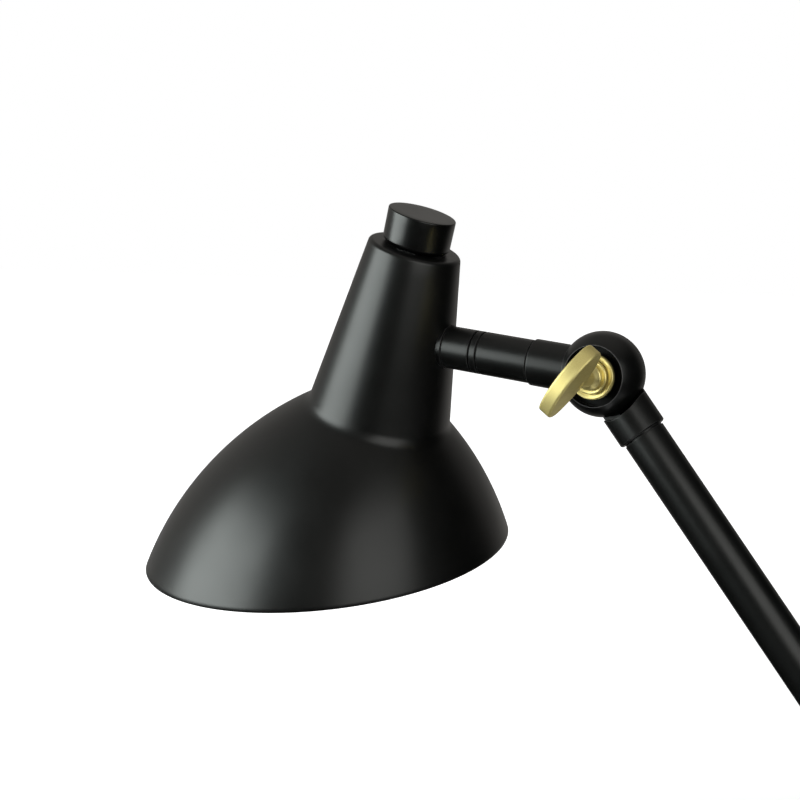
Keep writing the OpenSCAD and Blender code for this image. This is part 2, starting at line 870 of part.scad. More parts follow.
// angled strip: its leg is held by the seat nut, its shelf holds the lampholder
module holder_bracket() {
    outer = shade_reach - seat_face;
    inner = outer - strip_t;
    leg_top = seat_depth - leg_rise;
    shelf_end = nut_corner + nut_room;
    color("silver") difference() {
        in_shade() rotate([90, 0, 0]) translate([0, 0, -strip_w / 2])
            linear_extrude(strip_w)
                polygon([
                    leg_point(inner, leg_top), leg_point(outer, leg_top),
                    leg_point(outer, holder_top), [-shelf_end, -holder_top],
                    [-shelf_end, -shelf_depth], leg_point(inner, shelf_depth)
                ]);
        on_head() cylinder(r = nipple_r + seat_gap, h = shade_reach);
        in_shade() translate([0, 0, -far / 2]) cylinder(r = nipple_r + seat_gap, h = far / 2);
    }
}

module holder_nut() {
    color("silver") in_shade() translate([0, 0, -shelf_depth])
        hex_nut(nut_af, nut_h, nipple_r + seat_gap);
}

module holder_nipple() {
    color("silver") in_shade()
        ring(nipple_r, nipple_bore / 2, -holder_top - holder_grip,
             -shelf_depth + nut_h + thread_out);
}

// upper part of the lampholder, with the hole for the nipple
module holder_cap() {
    r = holder_d / 2;
    shoulder_r = r - holder_shoulder;
    low = -holder_top - holder_cap_h;
    color([0.08, 0.08, 0.08]) in_shade() difference() {
        rotate_extrude()
            polygon(concat(
                [[0, -holder_top]],
                arc([shoulder_r, -holder_top - holder_shoulder], holder_shoulder, 90, 0, 8),
                [[r, low], [0, low]]
            ));
        translate([0, 0, -holder_top - holder_grip - 1])
            cylinder(r = nipple_r + seat_gap, h = far);
        translate([0, 0, low - 1]) cylinder(r = r - holder_cap_wall, h = holder_cap_pocket + 1);
    }
}

// lower part of the lampholder, round the thread shell, with a flared mouth
module holder_sleeve() {
    r = holder_d / 2 - 1;
    lip_r = r + holder_lip;
    top = -holder_top - holder_cap_h;
    color([0.08, 0.08, 0.08]) in_shade() difference() {
        rotate_extrude()
            polygon([
                [0, top], [r, top], [r, -holder_mouth + holder_lip_h + holder_lip],
                [lip_r, -holder_mouth + holder_lip_h], [lip_r, -holder_mouth + holder_lip],
                [r, -holder_mouth], [0, -holder_mouth]
            ]);
        translate([0, 0, -holder_mouth - 1])
            cylinder(r = shell_r + seat_gap, h = socket_depth + 1);
    }
}

module holder_thread() {
    color("gold") in_shade()
        ring(shell_r, socket_d / 2, -holder_mouth + shell_inset, -holder_mouth + socket_depth);
}

module holder_contact() {
    color("gold") in_shade()
        translate([0, 0, -holder_mouth + socket_depth - contact_h])
            cylinder(r = contact_r, h = contact_h);
}

// ---------------------------------------------------------------- bulb

module bulb_cap() {
    straight = cap_len - cap_taper - tip_h;
    color("silver") in_shade() translate([0, 0, -glass_top]) difference() {
        union() {
            cylinder(r = cap_r, h = straight);
            translate([0, 0, straight]) cylinder(r1 = cap_r, r2 = cap_end_r, h = cap_taper);
        }
        translate([0, 0, -1]) cylinder(r = cap_r - cap_wall, h = straight);
    }
}

module bulb_tip() {
    color("gold") in_shade() translate([0, 0, -glass_top + cap_len - tip_h])
        cylinder(r1 = tip_r, r2 = tip_end_r, h = tip_h);
}

// outline of half the bulb from its spigot down to its foot, set in by inset:
// the neck's line runs from its corner and touches the round
function glass_line(inset) =
    let (r = bulb_d / 2 - inset,
         centre = [0, bulb_d / 2 - glass_low],
         corner = [glass_neck_r - inset, -glass_top - inset],
         to_corner = corner - centre,
         touch = atan2(to_corner[1], to_corner[0]) - acos(r / norm(to_corner)))
    concat(
        [[spigot_r - inset, glass_spigot - glass_top], [spigot_r - inset, -glass_top - inset], corner],
        arc(centre, r, touch, -90, 24)
    );

module bulb_glass() {
    color("white") in_shade() rotate_extrude()
        polygon(concat(glass_line(0), reversed(glass_line(glass_wall))));
}

// ---------------------------------------------------------------- nodes

module lower_screw_half() { color([0.05, 0.05, 0.05]) on_stem() screw_half(); }
module lower_dished_washer() { color("gold") translate([0, 0, pivot_h]) dished_washer(); }
module lower_thumb_screw() { color("gold") translate([0, 0, pivot_h]) thumb_screw(lower_wing_angle); }
module lower_friction_disc() { color("white") on_arm() friction_disc(); }
module lower_nut_half() { color([0.05, 0.05, 0.05]) on_arm() nut_half(); }
module upper_nut_half() { color([0.05, 0.05, 0.05]) on_arm_top() nut_half(); }
module upper_friction_disc() { color("white") on_arm_top() friction_disc(); }
module upper_screw_half() { color([0.05, 0.05, 0.05]) on_stub() screw_half(); }
module upper_dished_washer() { color("gold") translate(upper_pivot) dished_washer(); }
module upper_thumb_screw() { color("gold") translate(upper_pivot) thumb_screw(upper_wing_angle); }

base_pad();
base_weight();
base_cover();
lead_gland();
base_washer();
base_nut();
base_rod();
stem_flange();
stem_bush();
stem_tube();
lower_screw_half();
lower_dished_washer();
lower_thumb_screw();
lower_friction_disc();
lower_nut_half();
arm_tube();
upper_nut_half();
upper_friction_disc();
upper_screw_half();
upper_dished_washer();
upper_thumb_screw();
stub_tube();
swivel_bush();
swivel_washer();
swivel_nut();
swivel_nipple();
swivel_ring();
seat_sleeve();
shade();
seat_washer();
seat_nut();
switch_body();
switch_nut();
switch_shaft();
switch_knob();
holder_bracket();
holder_nut();
holder_nipple();
holder_cap();
holder_sleeve();
holder_thread();
holder_contact();
bulb_cap();
bulb_tip();
bulb_glass();
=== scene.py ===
"""Looks of the desk lamp: materials, fine edges, camera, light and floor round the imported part."""

import json
import math

import bmesh
import bpy
from mathutils import Matrix, Vector


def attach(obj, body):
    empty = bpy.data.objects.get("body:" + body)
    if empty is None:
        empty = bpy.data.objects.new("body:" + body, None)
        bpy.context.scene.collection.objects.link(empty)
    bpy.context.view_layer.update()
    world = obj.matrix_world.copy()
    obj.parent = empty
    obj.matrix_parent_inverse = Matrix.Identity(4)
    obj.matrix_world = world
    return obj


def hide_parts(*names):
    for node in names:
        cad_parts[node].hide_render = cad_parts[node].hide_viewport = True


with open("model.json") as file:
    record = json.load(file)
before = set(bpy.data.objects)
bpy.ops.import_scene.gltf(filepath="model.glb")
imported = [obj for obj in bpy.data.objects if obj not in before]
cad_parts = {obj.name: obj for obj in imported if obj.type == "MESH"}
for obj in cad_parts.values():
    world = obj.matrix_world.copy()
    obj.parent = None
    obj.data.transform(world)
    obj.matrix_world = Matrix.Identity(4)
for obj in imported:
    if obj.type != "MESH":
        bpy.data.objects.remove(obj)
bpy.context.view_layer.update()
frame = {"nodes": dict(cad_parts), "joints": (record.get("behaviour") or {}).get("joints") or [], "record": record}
nodes = frame["nodes"]
joints = {j["name"]: j for j in frame["joints"]}

MM = 0.001

# ---------------------------------------------------------------- places, from the frame

UPPER_PIVOT = Vector(joints["head_tilt"]["pos_m"])
LOWER_PIVOT = Vector(joints["arm_tilt"]["pos_m"])
STUB_DIRECTION = Vector(joints["head_swivel"]["axis"]).normalized()
SHADE_TOP = Vector(joints["knob_turn"]["pos_m"])
SHADE_UP = -Vector(joints["knob_turn"]["axis"]).normalized()
SCREW_AXIS = (0.0, 1.0, 0.0)


def frame_at(origin, up, towards):
    """A matrix at origin with +Z along up and +X on the side of the point towards."""
    z = up.normalized()
    x = towards - origin
    x = (x - z * x.dot(z)).normalized()
    m = Matrix((x, z.cross(x), z)).transposed().to_4x4()
    m.translation = origin
    return m


IN_SHADE = frame_at(SHADE_TOP, SHADE_UP, UPPER_PIVOT)

# ---------------------------------------------------------------- sizes, in metres

# the shade's sheet, as in the part's source
SHADE_WALL = 1 * MM
NECK_TOP_R = 34.3 / 2 * MM
NECK_ANGLE = math.radians(9.2)
NECK_LEN = 66.8 * MM
TOP_EDGE = 1.6 * MM
DOME_R = 149 * MM
DOME_BACK = 66.9 * MM
WAIST_R = 8 * MM
RIM_DEPTH = 128.4 * MM
RIM_SLOPE = math.radians(19.8)

# the drawn shade: its flat top stands TOP_RISE over the source's, for a narrower gap under the knob
TOP_RISE = 0.8 * MM
TOP_RINGS = (0.05 * MM, 6 * MM, 12 * MM)
RIM_ROUND = 0.35 * MM
SHADE_POINTS = 192
TOP_EDGE_STEPS = 6
NECK_STEPS = 12
WAIST_STEPS = 8
DOME_STEPS = 40
LIP_STEPS = 6

# the drawn knob
KNOB_R = 24.8 / 2 * MM
KNOB_H = 12.2 * MM
KNOB_GAP = 1.3 * MM
KNOB_TOP = KNOB_GAP + KNOB_H
KNOB_TOP_RINGS = (0.02 * MM, 4 * MM, 9 * MM)
KNOB_EDGE = 0.45 * MM
KNOB_FOOT_EDGE = 0.6 * MM
KNOB_FOOT_R = KNOB_R - 1 * MM
KNOB_HOLLOW_R = 9.3 * MM
KNOB_HOLLOW_TOP = 3.5 * MM
KNOB_BORE_R = 3.05 * MM
KNOB_POINTS = 128

# a ball's recess and its washer; depths count from the pivot along the screw
RECESS_R = 21.6 / 2 * MM
RECESS_FLOOR = 7.4 * MM
LIP = 11.1 * MM
WASHER_R = 16.2 / 2 * MM
WASHER_BORE_R = 3.3 * MM
WASHER_TOP = 12.6 * MM
WASHER_DISH = 0.42 * MM
WASHER_EDGE = 0.45 * MM
WASHER_FOOT_EDGE = 0.3 * MM
WASHER_RIM = 0.6 * MM
SHOULDER_R = 6.1 * MM
SHOULDER_FILLET = (0.2 * MM, 0.06 * MM)
WASHER_POINTS = 96

# ---------------------------------------------------------------- mesh helpers


def mesh_object(name, verts, faces, body, replaced):
    """A smooth piece that rides a body and replaces the given nodes."""
    mesh = bpy.data.meshes.new(name)
    mesh.from_pydata(verts, [], faces)
    bm = bmesh.new()
    bm.from_mesh(mesh)
    bmesh.ops.remove_doubles(bm, verts=bm.verts, dist=1e-7)
    bmesh.ops.recalc_face_normals(bm, faces=bm.faces)
    bm.to_mesh(mesh)
    bm.free()
    for p in mesh.polygons:
        p.use_smooth = True
    obj = bpy.data.objects.new(name, mesh)
    bpy.context.scene.collection.objects.link(obj)
    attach(obj, body)
    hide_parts(*replaced)
    return obj


def rings_to_mesh(rings):
    """Quads between neighbouring rings of the same number of points, each ring closed."""
    count = len(rings[0])
    verts = [p for ring in rings for p in ring]
    faces = []
    for i in range(len(rings) - 1):
        for j in range(count):
            k = (j + 1) % count
            faces.append((i * count + j, i * count + k, (i + 1) * count + k, (i + 1) * count + j))
    return verts, faces


def full_turn(count):
    """Angles of a full turn in equal steps."""
    return [2 * math.pi * j / count for j in range(count)]


def turned(profile, place, count):
    """Rings of a turned shape: profile is a list of (radius, height)."""
    rings = []
    for r, z in profile:
        rings.append([place @ Vector((r * math.cos(a), r * math.sin(a), z)) for a in full_turn(count)])
    return rings


def arc_points(centre, r, start, end, steps):
    """Points of an arc in a profile, with its angles in degrees."""
    return [
        (centre[0] + r * math.cos(a), centre[1] + r * math.sin(a))
        for a in (math.radians(start + (end - start) * i / steps) for i in range(steps + 1))
    ]


# ---------------------------------------------------------------- shader helpers


def link(tree, a, b):
    tree.links.new(a, b)


def math_node(tree, operation, a, b=None, clamp=False):
    n = tree.nodes.new("ShaderNodeMath")
    n.operation = operation
    n.use_clamp = clamp
    for i, v in enumerate((a, b)):
        if v is None:
            continue
        if isinstance(v, (int, float)):
            n.inputs[i].default_value = v
        else:
            link(tree, v, n.inputs[i])
    return n.outputs[0]


def multiply(tree, first, *others):
    """Product of all the values given."""
    total = first
    for value in others:
        total = math_node(tree, "MULTIPLY", total, value)
    return total


def vector_node(tree, operation, a, b=None):
    """A vector operation; b is a fixed vector or a socket."""
    n = tree.nodes.new("ShaderNodeVectorMath")
    n.operation = operation
    link(tree, a, n.inputs[0])
    if isinstance(b, bpy.types.NodeSocket):
        link(tree, b, n.inputs[1])
    elif b is not None:
        n.inputs[1].default_value = b
    return n.outputs


def dot_product(tree, a, b):
    return vector_node(tree, "DOT_PRODUCT", a, b)["Value"]


def noise(tree, vector, scale, detail=3.0, roughness=0.55):
    n = tree.nodes.new("ShaderNodeTexNoise")
    n.inputs["Scale"].default_value = scale
    n.inputs["Detail"].default_value = detail
    n.inputs["Roughness"].default_value = roughness
    link(tree, vector, n.inputs["Vector"])
    return n.outputs[0]


def span(tree, value, low, high, to_low=0.0, to_high=1.0):
    """The value mapped from low..high to to_low..to_high, and held beyond both."""
    n = tree.nodes.new("ShaderNodeMapRange")
    n.clamp = True
    link(tree, value, n.inputs[0])
    for i, v in enumerate((low, high, to_low, to_high)):
        n.inputs[i + 1].default_value = v
    return n.outputs[0]


def blend_colour(tree, factor, a, b):
    n = tree.nodes.new("ShaderNodeMix")
    n.data_type = "RGBA"
    link(tree, factor, n.inputs[0])
    for socket, v in ((n.inputs[6], a), (n.inputs[7], b)):
        if isinstance(v, (tuple, list)):
            socket.default_value = (*v, 1)
        else:
            link(tree, v, socket)
    return n.outputs[2]


def softened_normal(tree, radius, samples):
    bevel = tree.nodes.new("ShaderNodeBevel")
    bevel.samples = samples
    bevel.inputs["Radius"].default_value = radius
    return bevel.outputs[0]


def edge_mask(tree, radius):
    """1 on convex and concave edges within radius, 0 on faces."""
    normal = tree.nodes.new("ShaderNodeNewGeometry").outputs["Normal"]
    return span(tree, dot_product(tree, softened_normal(tree, radius, 4), normal), 0.999, 0.9)


def begin(name):
    """A new material with its node tree, its shader and the place on the object."""
    mat = bpy.data.materials.new(name)
    mat.use_nodes = True
    tree = mat.node_tree
    shader = tree.nodes["Principled BSDF"]
    place = tree.nodes.new("ShaderNodeTexCoord").outputs["Object"]
    return mat, tree, shader, place


def bump(tree, shader, height, strength, distance, rounding=None, steps=None):
    """Fine relief, over softened edges and over the coarse relief steps, a height in metres."""
    normal = softened_normal(tree, rounding, 6) if rounding else None
    layers = [(height, strength, distance)]
    if steps:
        layers.insert(0, (steps, 1.0, 1.0))
    for relief, share, depth in layers:
        n = tree.nodes.new("ShaderNodeBump")
        n.inputs["Strength"].default_value = share
        n.inputs["Distance"].default_value = depth
        link(tree, relief, n.inputs["Height"])
        if normal:
            link(tree, normal, n.inputs["Normal"])
        normal = n.outputs[0]
    link(tree, normal, shader.inputs["Normal"])


def along(tree, place, centre, axis):
    """Distance along the axis and distance from it, in metres."""
    shift = vector_node(tree, "SUBTRACT", place, centre)["Vector"]
    t = dot_product(tree, shift, axis)
    square = math_node(tree, "SUBTRACT", dot_product(tree, shift, shift), multiply(tree, t, t))
    return t, math_node(tree, "SQRT", math_node(tree, "MAXIMUM", square, 0.0))


# ---------------------------------------------------------------- materials

# sprayed paint: scales in cells per metre, sizes of dust in cells
MOTTLE_SCALE = 60
MOTTLE_GAIN = 1.5
PEEL_SCALE = 2600
DUST_SCALE = 330
DUST_EDGE = (0.02, 0.05)
DUST_SHARE = 0.5
DUST_COLOUR = [0.03, 0.03, 0.03]
WORN_SHARE = 0.6

# paint at a ball's recess: gloss outside, gloss dimmed inside as painted shade, and the pale ring at the lip, a
# painted highlight
GLOSS = 0.5
RECESS_SHADE_GLOSS = 0.1
LIP_HIGHLIGHT_COLOUR = (0.07, 0.068, 0.07)
LIP_SOFT = 0.15 * MM

# metals
METALLIC = 0.85
TURNING_SCALE = 5200
TARNISH_SCALE = 240
# colour of the painted shade on a washer's foot down in a recess
SHADED_BRASS = (0.02, 0.016, 0.008)
STROKE_SCALE = 4200
STROKE_STRETCH = 0.96
CLOUD_SCALE = 170
RING_WIDTH = 1.5 * MM
RING_DEPTH = 0.3 * MM
HUB_START = -18 * MM
HUB_FULL = -16.5 * MM
HUB_SMOOTHER = 0.16


def recess_masks(tree, place, ball):
    """Masks of the inside of a ball's recess, where shade is painted as dimmed gloss, and of the thin ring round
    its lip, where a highlight is painted.
    """
    t, r = along(tree, place, ball, SCREW_AXIS)
    within = span(tree, r, RECESS_R + LIP_SOFT, RECESS_R + 0.05 * MM)
    below = span(tree, t, -LIP - LIP_SOFT, -LIP)
    inner = span(tree, r, RECESS_R - 0.5 * MM, RECESS_R - 0.1 * MM)
    outer = span(tree, r, RECESS_R + 0.4 * MM, RECESS_R + 0.1 * MM)
    above = span(tree, t, 0.4 * MM - LIP, 0.1 * MM - LIP)
    return multiply(tree, within, below), multiply(tree, inner, outer, above)


def paint(name, colour, worn, roughness, rounding=None, ball=None):
    """Sprayed paint: mottling, orange peel, a little dust and paler edges; in a ball's recess, painted shade as
    dimmed gloss and a painted highlight ring at the lip.
    """
    mat, tree, shader, place = begin(name)
    mottle = noise(tree, place, MOTTLE_SCALE)
    peel = noise(tree, place, PEEL_SCALE, 2)
    tone = blend_colour(tree, span(tree, mottle, 0.3, 0.7), colour, [c * MOTTLE_GAIN for c in colour])
    specks = tree.nodes.new("ShaderNodeTexVoronoi")
    specks.inputs["Scale"].default_value = DUST_SCALE
    link(tree, place, specks.inputs["Vector"])
    dust = span(tree, specks.outputs["Distance"], *DUST_EDGE, DUST_SHARE, 0.0)
    tone = blend_colour(tree, dust, tone, DUST_COLOUR)
    if rounding:
        tone = blend_colour(tree, multiply(tree, edge_mask(tree, rounding), WORN_SHARE), tone, worn)
    if ball:
        inside, lip = recess_masks(tree, place, ball)
        # painted shade: gloss dimmed inside the recess
        gloss = span(tree, inside, 0.0, 1.0, GLOSS, RECESS_SHADE_GLOSS)
        link(tree, gloss, shader.inputs["Specular IOR Level"])
        # painted highlight: a pale ring round the recess's lip
        tone = blend_colour(tree, lip, tone, LIP_HIGHLIGHT_COLOUR)
    link(tree, tone, shader.inputs["Base Color"])
    rough = span(tree, mottle, 0.25, 0.75, roughness - 0.02, roughness + 0.03)
    link(tree, rough, shader.inputs["Roughness"])
    bump(tree, shader, peel, 0.04, 0.04 * MM, rounding)
    return mat


def lines(tree, first, second, scale):
    """Noise that varies only with the two given values."""
    combine = tree.nodes.new("ShaderNodeCombineXYZ")
    link(tree, first, combine.inputs[0])
    link(tree, second, combine.inputs[1])
    return noise(tree, combine.outputs[0], scale, 2)


def dished_rings(tree, r):
    """Height in metres of turned faces that are each dished a little, ring by ring."""
    ring = math_node(tree, "FRACT", multiply(tree, r, 1 / RING_WIDTH))
    return multiply(tree, ring, RING_DEPTH)


def turned_metal(name, colour, dark, roughness, centre, axis, rounding, in_recess=False):
    """Lathe-turned metal: fine rings about the axis, slight tarnish; painted shade, darker towards its foot, where
    it stands in a recess.
    """
    mat, tree, shader, place = begin(name)
    t, r = along(tree, place, centre, axis)
    rings = lines(tree, t, r, TURNING_SCALE)
    tarnish = noise(tree, place, TARNISH_SCALE)
    tone = blend_colour(tree, span(tree, tarnish, 0.35, 0.75), colour, dark)
    if in_recess:
        # painted shade: darker towards the foot, down in the recess
        recess_shade = span(tree, t, -LIP - 0.1 * MM, 0.5 * MM - LIP)
        tone = blend_colour(tree, recess_shade, tone, SHADED_BRASS)
    link(tree, tone, shader.inputs["Base Color"])
    shader.inputs["Metallic"].default_value = METALLIC
    rough = span(tree, rings, 0.3, 0.7, roughness - 0.04, roughness + 0.06)
    link(tree, rough, shader.inputs["Roughness"])
    bump(tree, shader, rings, 0.12, 0.03 * MM, rounding)
    return mat


def brushed_metal(name, colour, dark, roughness, centre, axis, rounding):
    """A screw brushed in parallel strokes along its axis, with a turned hub."""
    mat, tree, shader, place = begin(name)
    t, r = along(tree, place, centre, axis)
    on_hub = span(tree, t, HUB_START, HUB_FULL)
    squash = tree.nodes.new("ShaderNodeVectorMath")
    squash.operation = "SCALE"
    squash.inputs[0].default_value = axis
    link(tree, multiply(tree, t, -STROKE_STRETCH), squash.inputs["Scale"])
    stretched = vector_node(tree, "ADD", place, squash.outputs[0])["Vector"]
    strokes = noise(tree, stretched, STROKE_SCALE, 3)
    cloud = noise(tree, place, CLOUD_SCALE)
    stroke_share = span(tree, strokes, 0.35, 0.75, 0, 0.5)
    cloud_share = span(tree, cloud, 0.4, 0.8, 0, 0.5)
    tone = blend_colour(tree, math_node(tree, "ADD", stroke_share, cloud_share), colour, dark)
    link(tree, tone, shader.inputs["Base Color"])
    shader.inputs["Metallic"].default_value = METALLIC
    rough = span(tree, strokes, 0.3, 0.7, roughness - 0.05, roughness + 0.08)
    smoother = multiply(tree, on_hub, HUB_SMOOTHER)
    link(tree, math_node(tree, "SUBTRACT", rough, smoother), shader.inputs["Roughness"])
    steps = multiply(tree, dished_rings(tree, r), on_hub)
    bump(tree, shader, strokes, 0.25, 0.04 * MM, rounding, steps)
    return mat


def plain(name, colour, other, roughness, scale, height, rounding=None, metallic=0.0):
    """Cast, moulded, plated or rubber surface: mottled colour and grain."""
    mat, tree, shader, place = begin(name)
    grain = noise(tree, place, scale)
    tone = blend_colour(tree, span(tree, grain, 0.3, 0.7), colour, other)
    link(tree, tone, shader.inputs["Base Color"])
    rough = span(tree, grain, 0.3, 0.7, roughness - 0.05, roughness + 0.05)
    link(tree, rough, shader.inputs["Roughness"])
    shader.inputs["Metallic"].default_value = metallic
    bump(tree, shader, grain, 0.3, height, rounding)
    return mat


BLACK = [0.0018, 0.0019, 0.0018]
SHEET_WORN = [0.02] * 3
EDGE_WORN = [0.05] * 3
EDGE_WIDTH = 0.35 * MM
BRASS = [0.92, 0.79, 0.34]
BRASS_DARK = [0.76, 0.62, 0.22]
WASHER_ROUNDING = 0.15 * MM
SCREW_ROUNDING = 0.3 * MM

black_sheet = paint("black_paint_sheet", BLACK, SHEET_WORN, 0.34)
black_edged = paint("black_paint_edged", BLACK, EDGE_WORN, 0.34, EDGE_WIDTH)
black_knob = paint("black_paint_knob", BLACK, SHEET_WORN, 0.29, 0.3 * MM)
white_inside = paint("white_paint_inside", [0.72, 0.71, 0.68], [0.7] * 3, 0.45)

SLOT_MATERIALS = {
    "black_paint": black_edged,
    "knob_paint": black_knob,
    "steel": plain(
        "zinc_plated_steel", [0.5, 0.5, 0.51], [0.62] * 3,
        roughness=0.32, scale=900, height=0.02 * MM, rounding=0.2 * MM, metallic=1.0),
    "iron": plain(
        "cast_iron", [0.07, 0.07, 0.075], [0.1] * 3,
        roughness=0.62, scale=700, height=0.2 * MM, rounding=0.4 * MM, metallic=0.6),
    "rubber": plain(
        "rubber", [0.016] * 3, [0.024] * 3,
        roughness=0.75, scale=1500, height=0.08 * MM, rounding=0.3 * MM),
    "bakelite": plain(
        "bakelite", [0.013, 0.012, 0.011], [0.022, 0.019, 0.016],
        roughness=0.38, scale=300, height=0.02 * MM, rounding=0.3 * MM),
    "nylon": plain(
        "nylon", [0.72, 0.7, 0.63], [0.66, 0.64, 0.58],
        roughness=0.5, scale=500, height=0.02 * MM),
    "cap_metal": plain(
        "bulb_cap_metal", [0.75, 0.75, 0.74], [0.62] * 3,
        roughness=0.25, scale=800, height=0.01 * MM, metallic=1.0),
    "opal_glass": plain(
        "opal_glass", [0.9, 0.89, 0.86], [0.86, 0.85, 0.82],
        roughness=0.22, scale=30, height=0.01 * MM),
    "brass": turned_metal(
        "brass_turned", BRASS, BRASS_DARK, 0.36, UPPER_PIVOT, STUB_DIRECTION, WASHER_ROUNDING),
}

NODE_MATERIALS = {}
for side, ending, pivot in (("upper", "", UPPER_PIVOT), ("lower", "_lower", LOWER_PIVOT)):
    NODE_MATERIALS[side + "_screw_half"] = paint(
        "black_paint_ball" + ending, BLACK, EDGE_WORN, 0.34, EDGE_WIDTH, pivot)
    NODE_MATERIALS[side + "_dished_washer"] = turned_metal(
        "brass_washer" + ending, BRASS, BRASS_DARK, 0.34, pivot, SCREW_AXIS, WASHER_ROUNDING, True)
    NODE_MATERIALS[side + "_thumb_screw"] = brushed_metal(
        "brass_brushed" + ending, BRASS, BRASS_DARK, 0.5, pivot, SCREW_AXIS, SCREW_ROUNDING)


def dress(obj, material):
    if obj.data.materials:
        for slot in obj.material_slots:
            slot.link = "OBJECT"
            slot.material = material
    else:
        obj.data.materials.append(material)


for row in frame["record"]["subparts"]:
    name = row["node"]
    dress(nodes[name], NODE_MATERIALS.get(name, SLOT_MATERIALS[row["material_slot"]]))

# ---------------------------------------------------------------- shade


def neck_r(depth):
    """Radius of the neck's cone at a depth under the source's top."""
    return NECK_TOP_R + depth * math.tan(NECK_ANGLE)


DOME_DEPTH = NECK_LEN + math.sqrt(DOME_R ** 2 - (neck_r(NECK_LEN) + DOME_BACK) ** 2)
DOME_CENTRE = Vector((-DOME_BACK, -DOME_DEPTH))


def waist_centre():
    """Centre of the arc that touches the neck's line and the dome's arc from outside."""
    normal = Vector((math.cos(NECK_ANGLE), math.sin(NECK_ANGLE)))
    start = Vector((NECK_TOP_R, 0)) + WAIST_R * normal - DOME_CENTRE
    step = Vector((math.tan(NECK_ANGLE), -1))
    a, b = step.dot(step), start.dot(step)
    c = start.dot(start) - (DOME_R + WAIST_R) ** 2
    return start + DOME_CENTRE + step * ((-b - math.sqrt(b * b - a * c)) / a)


WAIST_CENTRE = waist_centre()
TO_DOME = DOME_CENTRE - WAIST_CENTRE
WAIST_TURN = 360 + math.degrees(math.atan2(TO_DOME.y, TO_DOME.x))
DOME_START = WAIST_TURN - 180


def dome_point(inset, angle):
    """Radius and height of a point on the dome's arc, with the angle in radians."""
    r = DOME_CENTRE.x + (DOME_R - inset) * math.cos(angle)
    z = DOME_CENTRE.y + (DOME_R - inset) * math.sin(angle)
    return r, z


def rim_angle(turn, inset, above):
    """Angle in degrees on the dome's arc at which it meets the rim plane, that far above it."""
    low, high = 0.0, math.radians(DOME_START)
    for _ in range(40):
        middle = (low + high) / 2
        r, z = dome_point(inset, middle)
        over = z - (-RIM_DEPTH + above + math.tan(RIM_SLOPE) * r * math.cos(turn))
        if over > 0:
            high = middle
        else:
            low = middle
    return math.degrees(high)


def shade_skin(inset):
    """Rings of one side of the sheet, from the flat top to the rim plane."""
    edge_depth = TOP_EDGE - TOP_RISE
    edge_centre = (neck_r(edge_depth) - TOP_EDGE / math.cos(NECK_ANGLE), -edge_depth)
    slant = math.degrees(NECK_ANGLE)
    upper = [(r, TOP_RISE - inset) for r in TOP_RINGS]
    upper += arc_points(edge_centre, TOP_EDGE - inset, 90, slant, TOP_EDGE_STEPS)
    waist = arc_points(WAIST_CENTRE, WAIST_R + inset, 180 + slant, WAIST_TURN, WAIST_STEPS)
    (r0, z0), (r1, z1) = upper[-1], waist[0]
    upper += [
        (r0 + (r1 - r0) * k / NECK_STEPS, z0 + (z1 - z0) * k / NECK_STEPS)
        for k in range(1, NECK_STEPS)
    ]
    rings = turned(upper + waist, IN_SHADE, SHADE_POINTS)
    turns = full_turn(SHADE_POINTS)
    ends = [rim_angle(a, inset, RIM_ROUND) for a in turns]
    for k in range(1, DOME_STEPS + 1):
        ring = []
        for a, end in zip(turns, ends):
            r, z = dome_point(inset, math.radians(DOME_START + (end - DOME_START) * k / DOME_STEPS))
            ring.append(IN_SHADE @ Vector((r * math.cos(a), r * math.sin(a), z)))
        rings.append(ring)
    return rings


def rim_lip(outer, inner):
    """Rings of the rounded edge that joins the sheet's two sides, below the rim plane."""
    down = IN_SHADE.to_3x3() @ Vector((math.sin(RIM_SLOPE), 0, -math.cos(RIM_SLOPE)))
    rings = []
    for k in range(1, LIP_STEPS):
        turn = math.pi * k / LIP_STEPS
        across = (1 - math.cos(turn)) / 2
        depth = down * RIM_ROUND * math.sin(turn)
        rings.append([a.lerp(b, across) + depth for a, b in zip(outer, inner)])
    return rings


def build_shade():
    """The sheet without its hidden bores, black outside and white inside from the middle of its lip."""
    outer = shade_skin(0.0)
    inner = shade_skin(SHADE_WALL)
    verts, faces = rings_to_mesh(outer + rim_lip(outer[-1], inner[-1]) + inner[::-1])
    obj = mesh_object("shade_shell", verts, faces, "head", ["shade"])
    obj.data.materials.append(black_sheet)
    obj.data.materials.append(white_inside)
    inside_from = (len(outer) + LIP_STEPS // 2) * SHADE_POINTS
    for polygon, face in zip(obj.data.polygons, faces):
        polygon.material_index = 1 if min(face) >= inside_from else 0


build_shade()

# ---------------------------------------------------------------- knob


def build_knob():
    """The knob, turned with a rounded top edge and a hollow foot."""
    profile = [(r, KNOB_TOP) for r in KNOB_TOP_RINGS]
    profile += arc_points((KNOB_R - KNOB_EDGE, KNOB_TOP - KNOB_EDGE), KNOB_EDGE, 90, 0, 5)
    profile += [(KNOB_R, KNOB_TOP - 3 * MM), (KNOB_R, KNOB_GAP + 4 * MM)]
    foot = (KNOB_R - KNOB_FOOT_EDGE, KNOB_GAP + 1.6 * MM)
    profile += arc_points(foot, KNOB_FOOT_EDGE, 0, -40, 3)
    profile += [(KNOB_FOOT_R, KNOB_GAP), (KNOB_HOLLOW_R, KNOB_GAP)]
    profile += [(KNOB_HOLLOW_R, KNOB_HOLLOW_TOP), (KNOB_BORE_R, KNOB_HOLLOW_TOP)]
    verts, faces = rings_to_mesh(turned(profile, IN_SHADE, KNOB_POINTS))
    obj = mesh_object("turned_knob", verts, faces, "knob", ["switch_knob"])
    obj.data.materials.append(black_knob)


build_knob()

# ---------------------------------------------------------------- dished washers


